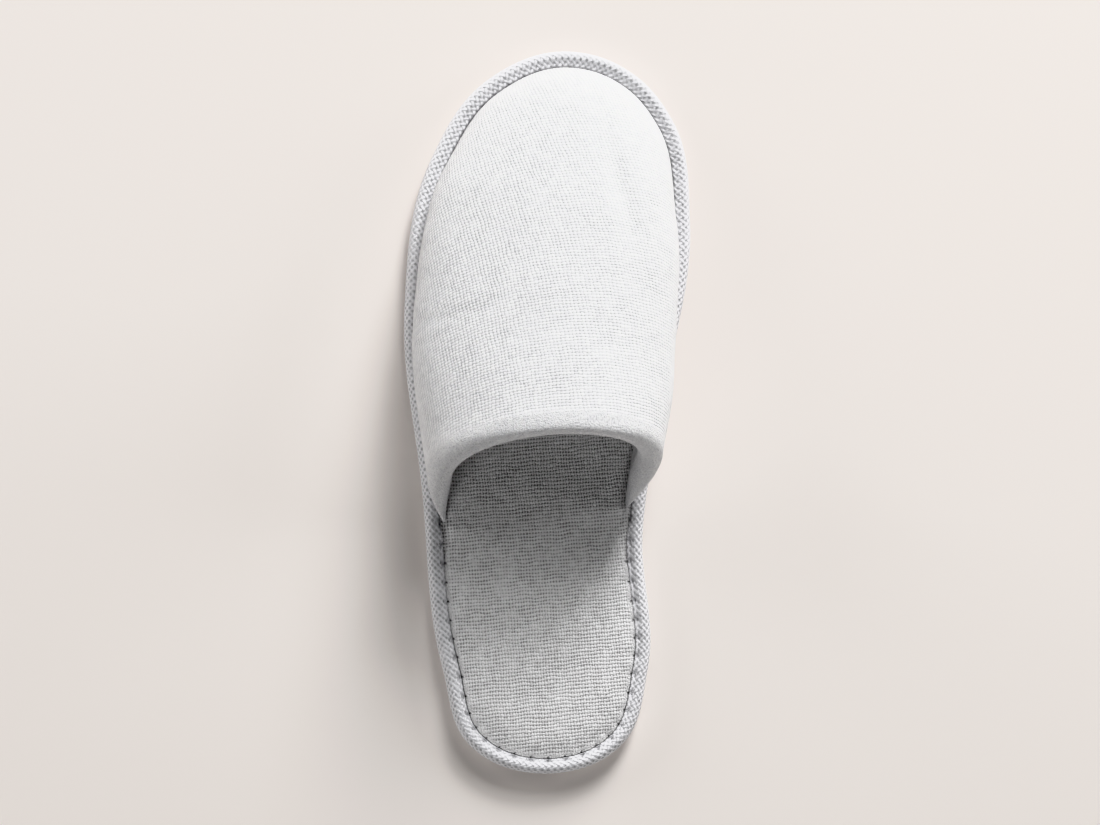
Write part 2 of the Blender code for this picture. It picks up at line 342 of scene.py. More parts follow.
# %% Cross-sections of the vamp
def pattern_value(column, share):
    """A column of SECTIONS at a share of the seam, on a smooth curve through its rows."""
    shares = [row[1] for row in SECTIONS]
    values = [row[column] for row in SECTIONS]
    i = max(k for k in range(len(shares) - 1) if shares[k] <= share)

    def slope(k):
        """The steepness of the smooth curve at a row."""
        a, b = max(k - 1, 0), min(k + 1, len(shares) - 1)
        return (values[b] - values[a]) / (shares[b] - shares[a])

    width = shares[i + 1] - shares[i]
    t = (share - shares[i]) / width
    return (
        values[i] * (1 + 2 * t) * (1 - t) ** 2
        + values[i + 1] * t * t * (3 - 2 * t)
        + slope(i) * width * t * (1 - t) ** 2
        - slope(i + 1) * width * t * t * (1 - t)
    )


def crest_at(share):
    """The crest's point and its direction towards the toe, from the toes (0) to the throat (1)."""
    length = CREST_LENGTHS[-1]
    ends = np.clip([share * length - NEAR, share * length + NEAR], 0, length)
    ahead, behind = at_length(CREST_LINE, CREST_LENGTHS, ends)
    forwards = (ahead - behind) / np.linalg.norm(ahead - behind)
    return at_length(CREST_LINE, CREST_LENGTHS, share * length), forwards


def vamp_section(side, share, depth, t):
    """Points t of one section, from the seam (0) to the crest (1), each at its depth in the wall."""
    depth, t = np.asarray(depth)[:, None], np.asarray(t)[:, None]
    sign = 1 if side == "inner" else -1
    along = RIM_LENGTHS[TOE] + SEAM_LENGTH[side] * share
    inward = np.append(rim_inward(along), 0)
    foot = np.append(rim_place(along), SEAM_HEIGHT + FOOT_RISE)
    foot = foot + inward * (tape_width(along) + GAP + depth)
    flare = math.radians(pattern_value(2 if side == "inner" else 3, share))
    lean = math.radians(pattern_value(4, share))
    leaving = -inward * math.sin(flare) + np.array([0, math.tan(lean), math.cos(flare)])
    leaving /= np.linalg.norm(leaving)
    crest, forwards = crest_at(share**CREST_CROWDING)
    up = np.cross(forwards, (-1, 0, 0))
    crest = crest - up / np.linalg.norm(up) * depth
    turn = math.radians(90) * smoothstep(share / TURN_SHARE)
    arriving = forwards * math.cos(turn) + np.array([sign, 0, 0]) * math.sin(turn)
    rise = pattern_value(5, share) * (crest[:, 2:] - foot[:, 2:])
    spread = np.linalg.norm((crest - foot)[:, :2], axis=1, keepdims=True)
    reach = pattern_value(6 if side == "inner" else 7, share) * spread
    low, high = foot + leaving * rise, crest + arriving * reach
    return bezier(foot, low, high, crest, t)


# %% The wall of the vamp, outside and inside
VAMP_ROWS = np.linspace(0, 1, 64)
COLUMN_SHARES = np.append(0, VAMP_ROWS)  # a column also has a point under its first row
OUTSIDE_COLUMNS, INSIDE_COLUMNS, ROLL_COLUMNS = 180, 56, 21
PINCH_SHARE, HEM_PINCH_SHARE = 0.3, 0.2
ROLL_START = 0.982  # the share of the seam where the hem begins to curve over
ROLL_LEAD = 0.03  # the share of the seam before it that shows which way the cloth runs there
ROLL_REACH = 3.2 * MM  # how far its fold stands out behind the last section
CREST_SQUARE = (0.52, 0.12)  # how much squarer than an oval over the instep: outside and inside
SQUARE_FROM, SQUARE_RAMP = 0.45, 0.35  # the share up a section where that begins, and its ramp


def wall_thickness(share, t):
    """Pinched in the seam, full above it, and three times that in the turned-in hem of the throat."""
    to_throat = (1 - share) * SEAM_LENGTH["outer"]
    in_hem = 1 - ramp(to_throat, HEM_WIDTH, HEM_FADE)
    plain = (WALL - PINCHED_WALL) * smoothstep(t / PINCH_SHARE)
    hem = (HEM - PINCHED_WALL) * (1 - (1 - np.minimum(t / HEM_PINCH_SHARE, 1)) ** 2)
    return PINCHED_WALL + plain + (hem - plain) * in_hem


def vamp_column(side, share, inside):
    """One section as points from the seam to the crest. The first stands straight under the second."""
    depth = wall_thickness(share, VAMP_ROWS) if inside else np.zeros(len(VAMP_ROWS))
    points = vamp_section(side, share, depth, VAMP_ROWS)
    return np.vstack([points[:1] - (0, 0, FOOT_RISE), points])


def roll_columns(side):
    """The roll of the throat: half ovals from the outer face round to the inner one.

    Over the instep they are squarer on the outside: there the cloth is folded rather than rolled.
    """
    outer, inner = vamp_column(side, ROLL_START, False), vamp_column(side, ROLL_START, True)
    before, last = vamp_column(side, ROLL_START - ROLL_LEAD, False), vamp_column(side, 1.0, False)
    middle, radius = (outer + inner) / 2, (outer - inner) / 2
    away = outer - before
    away -= radius * (away * radius).sum(1, keepdims=True) / (radius**2).sum(1, keepdims=True)
    away /= np.linalg.norm(away, axis=1, keepdims=True)
    away *= np.linalg.norm(last - outer, axis=1, keepdims=True) + ROLL_REACH
    over_instep = ramp(COLUMN_SHARES[:, None], SQUARE_FROM, SQUARE_RAMP)
    columns = []
    for angle in math.pi * np.arange(1, ROLL_COLUMNS + 1) / (ROLL_COLUMNS + 1):
        across, back = math.cos(angle), math.sin(angle)
        power = 1 - CREST_SQUARE[int(across < 0)] * over_instep
        across = math.copysign(1, across) * abs(across) ** power
        columns.append(middle + radius * across + away * back**power)
    return columns


outside = np.linspace(0, ROLL_START, OUTSIDE_COLUMNS + 1)
inside = np.linspace(0, ROLL_START, INSIDE_COLUMNS + 1)
outer_face = [vamp_column("inner", s, False) for s in outside[::-1]]
outer_face += [vamp_column("outer", s, False) for s in outside[1:]]
lining = [vamp_column("outer", s, True) for s in inside[::-1]]
lining += [vamp_column("inner", s, True) for s in inside[1:]]
outer_face = np.array(outer_face)
around = np.concatenate([outer_face, roll_columns("outer"), lining, roll_columns("inner")[::-1]])
print("vamp grid:", around.shape[0], "columns round,", around.shape[1], "rows up")

# %% [markdown]
# The threads of the vamp run from the throat to the toe and across it. Bent cloth keeps its lengths,
# so the thread coordinates are measured on the surface: across, along the section from the crest,
# and lengthwise, along the crest. The cross threads droop towards the heel on both flanks, and the
# long ones drift outwards to the toe, because the cloth was pulled a little askew over the foam.

# %% Thread coordinates of the vamp
DROOP_RADIUS = 130.0  # mm, of the curve that a cross thread makes over the instep
WEFT_TURN = 0.05  # how far a cross thread runs forwards, over how far it runs to the inner side
WARP_DRIFT = (0.15, 0.00105)  # per mm, and per mm squared, towards the toe
LAST_POINTS = 4  # of the crest, which show where it goes on behind the throat
CARRIED_ON = 12  # how many times their length it goes on

toe_column = vamp_column("inner", 0.0, False)
throat, shortly_before = CREST_LINE[-1, 1:], CREST_LINE[-1 - LAST_POINTS, 1:]
behind_throat = throat + CARRIED_ON * (throat - shortly_before)
PROFILE = np.vstack([toe_column[:, 1:], CREST_LINE[1:, 1:], behind_throat])[::-1] * 1000


def vamp_threads(points):
    """Thread coordinates in mm for columns of points that run from the seam to the crest."""
    x, y, z = np.moveaxis(points * 1000, -1, 0)
    above_profile = z - np.interp(y, PROFILE[:, 0], PROFILE[:, 1])
    step = np.hypot(np.diff(x, axis=1), np.diff(above_profile, axis=1))
    up_to_crest = np.cumsum(step[:, ::-1], 1)[:, ::-1]
    across = np.concatenate([up_to_crest, np.zeros((len(x), 1))], 1)
    across = np.where(x > x[:, -1:], across, -across)
    along = np.interp(y, PROFILE[:, 0], lengths_along(PROFILE))
    u = across + WARP_DRIFT[0] * y + WARP_DRIFT[1] * y**2
    v = along - WEFT_TURN * across + across**2 / (2 * DROOP_RADIUS)
    return np.stack([u, v], -1)


def carried_on(threads, columns):
    """Threads that go on round the throat from the last column of the outer face."""
    steps = np.linalg.norm(np.diff(columns * 1000, axis=0), axis=2)
    down = np.cumsum(steps, 0)
    return np.stack([np.broadcast_to(threads[:, 0], down.shape), threads[:, 1] - down], -1)


face_threads = vamp_threads(outer_face)
face_count, turned_in = len(outer_face), ROLL_COLUMNS + INSIDE_COLUMNS + 1
outer_leg = carried_on(face_threads[-1], around[face_count - 1 : face_count + turned_in])
back_to_start = np.concatenate([around[face_count + turned_in - 1 :], around[:1]])[::-1]
inner_leg = carried_on(face_threads[0], back_to_start)[::-1]
threads = np.concatenate([face_threads, outer_leg, inner_leg])
print("threads laid on", threads.shape[0], "columns")

# %% [markdown]
# Foam-backed cloth doesn't fold sharply. What shows are broad, shallow hollows, so they are pressed
# in one by one, as a sculptor would with a thumb: each is a soft hollow with a place, a length, a
# direction and a depth. The seam adds a small gather at every needle hole.

# %% Hollows and gathers
HOLLOWS = (
    # place, side_mm, forward_mm, half_length_mm, half_width_mm, turn_deg, depth_mm
    ("crease at the outer ball", -44.0, 33.0, 16.0, 2.6, 12.0, 0.35),
    ("crease by the big toe", 27.0, 84.0, 19.0, 4.6, 102.0, 1.7),
    ("its end at the ball", 32.0, 48.0, 22.0, 6.0, 94.0, 0.55),
    ("hollow behind the toes", -20.0, 74.0, 22.0, 12.0, 20.0, 0.35),
    ("hollow at the instep", 22.0, 24.0, 20.0, 9.0, -20.0, 0.3),
)
GATHER_HEIGHT, GATHER_DEPTH = 6 * MM, 0.3 * MM
ALONG_CREST = (0, 0.2, 1)  # both flanks end on the crest, so they are pressed the same way there
PRESS_RAMP = 0.06  # the share up a section over which the hollows begin, above the seam


def hollow_depth(x, y):
    """How deep the cloth is pressed in at each place, in metres."""
    total = 0
    for _, side_mm, forward_mm, long_mm, wide_mm, turn_deg, depth_mm in HOLLOWS:
        turn = math.radians(turn_deg)
        dx, dy = x * 1000 - side_mm, y * 1000 - forward_mm
        along = (dx * math.cos(turn) + dy * math.sin(turn)) / long_mm
        over = (-dx * math.sin(turn) + dy * math.cos(turn)) / wide_mm
        total = total + depth_mm * MM * np.exp(-(along**2) - over**2)
    return total


def surface_normals(points):
    """The outward direction at each point of the outer face."""
    normal = np.cross(np.gradient(points, axis=0), np.gradient(points, axis=1))
    normal /= np.maximum(np.linalg.norm(normal, axis=2, keepdims=True), 1e-12)
    return normal


def seam_gathers(points):
    """Small folds at the needle holes, which fade out a centimetre above the seam."""
    inner_way, outer_way = outside[:0:-1] * SEAM_LENGTH["inner"], outside * SEAM_LENGTH["outer"]
    distance = RIM_LENGTHS[TOE] + np.concatenate([inner_way, outer_way])
    height = points[:, :, 2] - SEAM_HEIGHT
    fade = np.exp(-((height / GATHER_HEIGHT) ** 2))
    return hole_nearness(distance, 0.5 * STITCH)[:, None] * fade * GATHER_DEPTH


normals = surface_normals(outer_face)
normals[:, -1] = ALONG_CREST
x, y = outer_face[..., 0], outer_face[..., 1]
press = hollow_depth(x, y) + seam_gathers(outer_face) + ripple("vamp", x, y)
press *= smoothstep(COLUMN_SHARES / PRESS_RAMP)
around[:face_count] = outer_face - normals * press[..., None]
print(f"deepest hollow {1000 * press.max():.2f} mm")

# %% [markdown]
# Two marks on the vamp tell its cloth where to change. Along the turned-in hem a raised nap hides
# the weave, and over the ball, outwards and towards the toe, the threads that run lengthwise stand
# proud of the cross ones, because the cloth is stretched across the foam there.

# %% Marks on the vamp
NAP_FADE = 4.5 * MM
BALL_MM = 60  # how far forward the ball of the foot is
RIDGED_AT_BALL = 0.45  # how proud the warp stands there, in the middle
RIDGED_SIDE_MM, RIDGED_FORWARD_MM = 60, 150  # it grows by one this far outwards, or forwards

shares = np.concatenate([outside[::-1], outside[1:]])
to_hem = (ROLL_START - shares) * SEAM_LENGTH["outer"]
hem = np.ones(around.shape[:2])
hem[:face_count] = (1 - smoothstep(to_hem / NAP_FADE))[:, None]
x_mm, y_mm = around[..., 0] * 1000, around[..., 1] * 1000
ridged = smoothstep(RIDGED_AT_BALL - x_mm / RIDGED_SIDE_MM + (y_mm - BALL_MM) / RIDGED_FORWARD_MM)
upper = pulled_grid("vamp", around, threads, {"hem": hem, "ridged": ridged})
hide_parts("upper")

# %% [markdown]
# ## The footbed
#
# The footbed is cloth over thin foam. The seam squeezes its edge, so it rises out of the groove
# beside the tape in a soft shoulder and is pinched lower at every needle hole. It is laid out in
# rings: the first ones follow the rim closely, and the rest close in on a line down the middle of
# the sole, so that even the flat part has enough points to be slightly uneven.

# %% Rings that close in on the middle of a sole
STEPS_PER_STITCH = 10
SPINE_END = {"toe": 88 * MM, "heel": -98 * MM}
SPINE_SHARE = 0.72  # a place on the rim is led to the one this much nearer the sole's middle
SPINE_REACH = 0.985  # the last ring stops just short of the middle line
SPINE_FORWARD = np.array([-100, -40, 30, 90]) * MM
SPINE_SIDE = np.array([0, -4, 1, 4]) * MM

rim_steps = np.arange(STEPS_PER_STITCH * STITCH_COUNT) * STITCH / STEPS_PER_STITCH


def closing_rings(ring, count):
    """More rings, each further in, from this one nearly to the middle line of the sole."""
    spine_y = np.clip(ring[:, 1] * SPINE_SHARE, SPINE_END["heel"], SPINE_END["toe"])
    spine_x = np.interp(spine_y, SPINE_FORWARD, SPINE_SIDE)
    inwards = np.stack([spine_x, spine_y, ring[:, 2]], -1) - ring
    return [ring + inwards * share for share in np.linspace(0, SPINE_REACH, count + 1)[1:]]


def flat_threads(places, turn_deg):
    """Thread coordinates in mm that lie flat, turned by some degrees."""
    turn = math.radians(turn_deg)
    x, y = places[..., 0] * 1000, places[..., 1] * 1000
    u = x * math.cos(turn) + y * math.sin(turn)
    v = y * math.cos(turn) - x * math.sin(turn)
    return np.stack([u, v], -1)


print(len(rim_steps), "places round the rim")

# %% Footbed
FOOTBED_TOP = 8.7 * MM
FOOTBED_EDGE = (
    # widths_in, mm_in, height_mm, mm_lower_at_a_hole, mm_in_at_a_hole
    (0.24, 0.0, 4.8, 0.0, 0.0),
    (0.24, 0.0, 7.2, 0.0, 0.0),
    (0.90, 0.0, 7.2, 0.0, 0.0),
    (1.00, 0.55, 7.2, 0.0, 0.0),
    (1.00, 0.75, 7.65, 0.20, 0.15),
    (1.00, 0.90, 8.00, 0.35, 0.25),
    (1.00, 1.20, 8.28, 0.45, 0.30),
    (1.00, 1.70, 8.52, 0.50, 0.25),
    (1.00, 2.40, 8.66, 0.45, 0.15),
    (1.00, 3.30, 8.80, 0.35, 0.0),
    (1.00, 4.50, 8.93, 0.20, 0.0),
    (1.00, 6.00, 9.04, 0.05, 0.0),
    (1.00, 7.50, 9.12, 0.0, 0.0),
    (1.00, 10.00, 9.20, 0.0, 0.0),
)
UNDER_WALL = 2.9 * MM  # the shoulder starts this much further in where the vamp's wall stands
UNDER_TAPE_MM, SHOULDER_MM = 0.6, 1.2  # the groove lies between these two
PINCH = 0.6  # how much of the pull at a needle hole shows in the foam
GROOVE, GROOVE_AT_HEEL = 0.1, 0.6  # how deep in shade the groove is, and how much deeper there
HEEL_DROP, HEEL_DROP_FADE_MM = 0.6 * MM, 9  # the shoulder is lower at the very end of the heel
NAP_MM, NAP_FADE_MM = 1.7, 1.2  # where the nap of the shoulder ends
CLOSING_RINGS = 14
EVEN_RINGS, UNEVEN_RAMP = 7, 6  # rings without unevenness, and those over which it begins
FOOTBED_TURN = 4.5  # degrees, of its threads

width = tape_width(rim_steps)
forward = rim_place(rim_steps)[:, 1]
free = 1 - under_vamp(rim_steps, start=-62 * MM, full=-50 * MM)
pinch = PINCH * hole_nearness(rim_steps, 0.45 * STITCH) * free
needle = hole_nearness(rim_steps, 0.10 * STITCH)
groove = GROOVE + GROOVE_AT_HEEL * ramp(forward, -70 * MM, -30 * MM)
heel_end = ramp(forward, -112 * MM, -22 * MM)
rings, painted_shades, naps = [], [], []
for widths_in, mm_in, height_mm, lower, further in FOOTBED_EDGE:
    inset = widths_in * width + (mm_in + further * pinch) * MM
    inset += (mm_in > UNDER_TAPE_MM) * UNDER_WALL * (1 - free)
    height = (height_mm - lower * pinch) * MM
    height -= max(height_mm * MM - FOOTBED_TOP, 0) * (1 - free)
    drop = (mm_in >= SHOULDER_MM) * (1 - ramp(mm_in, SHOULDER_MM, HEEL_DROP_FADE_MM)) * HEEL_DROP
    rings.append(from_rim(rim_steps, inset, height - heel_end * drop))
    in_groove = groove * (widths_in == 1.0) * (mm_in < SHOULDER_MM)
    # painted shade in the needle holes, and in the groove, deeper round the heel
    painted_shades.append(np.maximum(needle * (mm_in <= SHOULDER_MM), in_groove) * free)
    naps.append(free * (mm_in > UNDER_TAPE_MM) * (1 - ramp(mm_in, NAP_MM, NAP_FADE_MM)))
rings += closing_rings(rings[-1], CLOSING_RINGS)
unmarked = [np.zeros(len(rim_steps))] * CLOSING_RINGS
painted_shades += unmarked
naps += unmarked
bed = np.stack(rings, 1)
uneven = ramp(np.arange(bed.shape[1]), EVEN_RINGS, UNEVEN_RAMP)
bed[..., 2] += uneven * ripple("footbed", bed[..., 0], bed[..., 1])
marks = {"painted_shade": np.stack(painted_shades, 1), "hem": np.stack(naps, 1)}
footbed = pulled_grid("footbed", bed, flat_threads(bed, FOOTBED_TURN), marks)
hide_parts("insole")

# %% [markdown]
# ## The bias tape
#
# The tape is a strip cut at 45 degrees to the threads, so it stretches round the curves. It is
# folded over the raw edges into a soft bead, and its seam runs close to its inner edge: beyond the
# needle holes only a thin lip is left. The threads are drawn towards each hole, which shows as small
# slanting pleats on the inner half of the bead.

# %% Tape
TAPE_EDGE = (
    # widths_in, mm_in_free, height_mm, pleat, hole_drop_mm: from the lower lip round the bead
    (1.00, 1.20, 1.30, 0.0, 0.0),
    (1.00, 1.25, 1.00, 0.0, 0.0),
    (1.00, 1.00, 0.80, 0.1, 0.0),
    (1.00, 0.35, 0.95, 0.2, -0.5),
    (1.00, 0.00, 1.10, 0.4, -0.8),
    (0.92, 0.00, 0.85, 0.8, -0.4),
    (0.80, 0.00, 0.45, 1.0, 0.0),
    (0.62, 0.00, 0.22, 0.8, 0.0),
    (0.46, 0.00, 0.20, 0.5, 0.0),
    (0.32, 0.00, 0.55, 0.3, 0.0),
    (0.19, 0.00, 1.25, 0.2, 0.0),
    (0.09, 0.00, 2.20, 0.1, 0.0),
    (0.02, 0.00, 3.40, 0.0, 0.0),
    (0.00, 0.00, 4.70, 0.0, 0.0),
    (0.02, 0.00, 6.00, 0.0, 0.0),
    (0.08, 0.00, 7.15, 0.1, 0.0),
    (0.17, 0.00, 8.05, 0.2, 0.0),
    (0.28, 0.00, 8.75, 0.4, 0.0),
    (0.40, 0.00, 9.15, 0.6, 0.0),
    (0.52, 0.00, 9.28, 0.8, 0.0),
    (0.64, 0.00, 9.22, 1.0, 0.05),
    (0.75, 0.00, 9.00, 1.0, 0.15),
    (0.85, 0.00, 8.65, 1.0, 0.35),
    (0.94, 0.00, 8.20, 0.8, 0.6),
    (1.00, 0.00, 7.95, 0.4, 0.8),
    (1.00, 0.25, 8.00, 0.2, 0.55),
    (1.00, 0.50, 8.08, 0.1, 0.25),
    (1.00, 0.68, 7.90, 0.0, 0.1),
    (1.00, 0.66, 7.60, 0.0, 0.0),
    (1.00, 0.00, 7.50, 0.0, 0.0),
    (0.60, 0.00, 7.50, 0.0, 0.0),
    (0.20, 0.00, 7.40, 0.0, 0.0),
    (0.17, 0.00, 4.60, 0.0, 0.0),
    (0.20, 0.00, 1.80, 0.0, 0.0),
    (0.60, 0.00, 1.70, 0.0, 0.0),
    (1.00, 0.00, 1.70, 0.0, 0.0),
)
TOE_SLOPE = (  # widths in, and mm lower at the toe, where the bead leans outwards
    (0.0, 0.08, 0.17, 0.28, 0.40, 0.52, 0.64, 0.75, 0.85, 0.94, 1.0),
    (0.0, -0.15, -0.35, -0.25, 0.1, 0.45, 0.85, 1.0, 0.85, 0.42, 0.18),
)
SLOPING_ROWS = range(15, 28)  # the top of the bead, without what is folded under it
BEAD_MIDDLE_MM = 4.7  # the height of the bead's outermost row
SCALLOP_MM = 0.11
PLEAT_MM, PLEAT_AWAY_FROM_TOE_MM = 0.10, 0.16
PLEAT_BETWEEN_HOLES = 0.4  # how deep a pleat still is there
PLEAT_SLANT = 0.42  # how many pleats it moves round from row to row
PULL_UNDER_VAMP = 0.25  # how far the needle holes still pull the tape down there
PLEATS_PER_STITCH = round(STITCH / (2.4 * MM))
TAPE_STEPS = 14 * STITCH_COUNT

tape_steps = np.arange(TAPE_STEPS) * RIM_LENGTH / TAPE_STEPS
width = tape_width(tape_steps)
forward = rim_place(tape_steps)[:, 1]
toe_end = ramp(forward, 20 * MM, 70 * MM)
covered = under_vamp(tape_steps)
hole_pull = hole_nearness(tape_steps, 0.30 * STITCH)
near_hole = hole_nearness(tape_steps, 0.5 * STITCH)
pleat_mm = PLEAT_MM + PLEAT_AWAY_FROM_TOE_MM * (1 - toe_end)
pleat_mm *= PLEAT_BETWEEN_HOLES + (1 - PLEAT_BETWEEN_HOLES) * near_hole


def free_at(on_top):
    """1 where the tape's edge lies free, and 0 on top where the vamp covers it."""
    return 1 - covered if on_top else np.ones(TAPE_STEPS)


def tape_ring(row):
    """The points of one row of the tape, all the way round the sole."""
    widths_in, mm_in, height_mm, pleat, drop_mm = TAPE_EDGE[row]
    on_top = height_mm > BEAD_MIDDLE_MM
    free = free_at(on_top)
    beside_seam = widths_in > 0.8 and pleat > 0.3
    scallop = SCALLOP_MM * (1 - 2 * near_hole) * beside_seam
    turn = tape_steps / STITCH * PLEATS_PER_STITCH + row * PLEAT_SLANT
    fold = pleat_mm * pleat * np.sin(2 * math.pi * turn) * (1 if on_top else -1)
    slope = toe_end * (row in SLOPING_ROWS) * np.interp(widths_in, *TOE_SLOPE)
    drop = drop_mm * hole_pull * (free * (1 - PULL_UNDER_VAMP) + PULL_UNDER_VAMP)
    inset = widths_in * width + (mm_in * free + scallop) * MM
    return from_rim(tape_steps, inset, (height_mm - drop + fold - slope) * MM)


tape = np.stack([tape_ring(row) for row in range(len(TAPE_EDGE))], 1)
print("tape grid:", tape.shape[0], "steps round,", tape.shape[1], "rows over the bead")

# %% [markdown]
# The tape's marks are worked out row by row too: painted shade in the needle holes and where the
# tape goes in under the vamp, painted light where the bead faces the lamps, on the outside of the toe
# and on the inner half of its top round the heel, which takes away most of its gaps' painted shade,
# and proud threads on the inner half. Its threads run at 45 degrees to its edge, and a whole number
# of them goes round, so that its ends meet.

# %% Marks on the tape
HOLE_DROP_MM = 0.45  # rows pulled further than this get painted shade in the needle holes
SEAM_SHADE = 0.85  # how deep in shade the tape is where it goes in under the vamp
LIT_TOE_OUTSIDE, LIT_HEEL_TOP = 0.75, 0.65  # painted light: how much of the gaps' painted shade goes at the toe, and at the heel
RIDGED_TAPE = 0.9  # how proud its warp stands on the inner half

needle = hole_nearness(tape_steps, 0.11 * STITCH)
heel_end = ramp(forward, -90 * MM, -40 * MM)
painted_shades, shade_left_rows, ridges = [], [], []
for widths_in, _, height_mm, _, drop_mm in TAPE_EDGE:
    on_top = height_mm > BEAD_MIDDLE_MM
    in_seam = SEAM_SHADE * covered * ramp(widths_in, 0.86, 0.14) * on_top
    # painted shade in the needle holes and where the tape goes in under the vamp
    painted_shades.append(needle * (abs(drop_mm) > HOLE_DROP_MM) * free_at(on_top) + in_seam)
    # painted light where the bead faces the lamps: less painted shade in its gaps
    lit_toe_outside = LIT_TOE_OUTSIDE * toe_end * (1 - ramp(widths_in, 0.15, 0.4))
    lit_heel_top = LIT_HEEL_TOP * heel_end * ramp(widths_in, 0.3, 0.3) * on_top
    shade_left_rows.append(1 - lit_toe_outside - lit_heel_top)
    ridges.append(RIDGED_TAPE * on_top * ramp(widths_in, 0.25 + 0.2 * toe_end, 0.3))
print("marks on", len(painted_shades), "rows of the tape")

# %% The tape's diagonal threads
DIAGONAL = math.sqrt(0.5)
THREAD_COUNT = round(RIM_LENGTH * DIAGONAL / (1.88 * MM))
TAPE_THREAD = 1000 * RIM_LENGTH * DIAGONAL / THREAD_COUNT

steps = np.linalg.norm(np.diff(tape, axis=1, append=tape[:, :1]), axis=2).mean(0)
round_section = np.concatenate([[0], np.cumsum(steps)])
round_rim = np.arange(TAPE_STEPS + 1) * RIM_LENGTH / TAPE_STEPS
along, over = np.meshgrid(round_rim, round_section, indexing="ij")
tape_threads = np.stack([over - along, along + over], -1) * DIAGONAL * 1000
marks = {"painted_shade": np.stack(painted_shades, 1), "shade_left_in_gaps": np.stack(shade_left_rows, 1), "ridged": np.stack(ridges, 1)}
binding = pulled_grid("bias_tape", tape, tape_threads, marks, close_rows=True)
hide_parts("binding")
print(f"tape thread every {TAPE_THREAD:.3f} mm")

# %% [markdown]
# ## The sole underneath
#
# The underside is a warm grey felted cloth on firm foam, with small rubber dots against slipping.
# The dots are printed in rows, offset by half from row to row. Each is a small flattened ball, half
# sunk in the cloth, with only a few dozen faces, because there are hundreds of them.

# %% Sole
SOLE_FACE = 0.6 * MM
SOLE_EDGE = (
    # widths_in, mm_in, height_mm
    (0.24, 0.0, 4.5),
    (0.24, 0.0, 2.0),
    (0.90, 0.0, 2.0),
    (1.00, 1.40, 2.0),
    (1.00, 1.60, 1.60),
    (1.00, 1.90, 1.15),
    (1.00, 2.40, 0.80),
    (1.00, 3.20, 0.62),
    (1.00, 5.00, 0.58),
    (1.00, 8.00, 0.60),
)
SOLE_TURN = 45.0  # degrees, of its threads
EVEN_EDGE = 8  # rings without unevenness

sole_steps = rim_steps[::2]
width = tape_width(sole_steps)
rings = [
    from_rim(sole_steps, widths_in * width + mm_in * MM, height_mm * MM)
    for widths_in, mm_in, height_mm in SOLE_EDGE
]
rings += closing_rings(rings[-1], count=12)
sole = np.stack(rings, 1)
uneven = sole[:, EVEN_EDGE:]
uneven[..., 2] += ripple("sole", uneven[..., 0], uneven[..., 1])
outsole = pulled_grid("sole", sole, flat_threads(sole, SOLE_TURN), {})
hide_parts("outsole")

# %% Grip dots
DOT_RADIUS = 1.0 * MM
DOT_FLATTENING = 0.6
DOT_STEP = (4.1 * MM, 7.8 * MM)  # from row to row across the sole, and along a row
DOT_REACH = (14, 19)  # in steps from the middle, enough to pass the rim everywhere
DOT_MARGIN = 4.2 * MM

edge = from_rim(sole_steps, tape_width(sole_steps) + DOT_MARGIN, 0.0)[:, :2]


def inside_outline(point, outline):
    """Whether a point lies inside a closed outline: a ray from it crosses the outline oddly often."""
    a, b = outline, np.roll(outline, -1, 0)
    spans = (a[:, 1] > point[1]) != (b[:, 1] > point[1])
    a, b = a[spans], b[spans]
    crossing = a[:, 0] + (point[1] - a[:, 1]) * (b[:, 0] - a[:, 0]) / (b[:, 1] - a[:, 1])
    return (crossing > point[0]).sum() % 2 == 1


def small_ball(radius, sides, bands, squeeze):
    """The mesh of a ball of a few dozen faces, stretched along its axes, to be copied many times."""
    bm = bmesh.new()
    at = Matrix.Diagonal((*squeeze, 1))
    bmesh.ops.create_uvsphere(bm, u_segments=sides, v_segments=bands, radius=radius, matrix=at)
    mesh = bpy.data.meshes.new("ball")
    bm.to_mesh(mesh)
    bm.free()
    return mesh


def copied_to(mesh, bm, at):
    """Adds a copy of a small mesh to a bmesh, at a place."""
    mesh.transform(at)
    bm.from_mesh(mesh)
    mesh.transform(at.inverted())


bm = bmesh.new()
dot = small_ball(DOT_RADIUS, sides=10, bands=6, squeeze=(1, 1, DOT_FLATTENING))
dots = 0
for column in range(-DOT_REACH[0], DOT_REACH[0] + 1):
    for row in range(-DOT_REACH[1], DOT_REACH[1] + 1):
        place = (column * DOT_STEP[0], (row + 0.5 * (column % 2)) * DOT_STEP[1])
        if inside_outline(place, edge):
            copied_to(dot, bm, Matrix.Translation((*place, SOLE_FACE)))
            dots += 1
grip_dots = finished("grip_dots", bm)
print(dots, "grip dots")

# %% [markdown]
# ## The seam's thread
#
# A lockstitch shows as short threads that dive into the cloth at both ends. Each one is a slim
# spindle laid in the groove of the tape between two needle holes, on the footbed side round the
# heel and all the way round on the underside.

# %% Stitches
THREAD, THREAD_FLATTENING = 0.26 * MM, 0.8
HALF_STITCH = 0.40 * STITCH
STITCH_INSET = 0.05 * MM  # beyond the tape's width
STITCH_HEIGHT = {"above": 7.98 * MM, "below": 1.02 * MM}
SEWN_IN = 0.02  # past this share, the seam is under the vamp


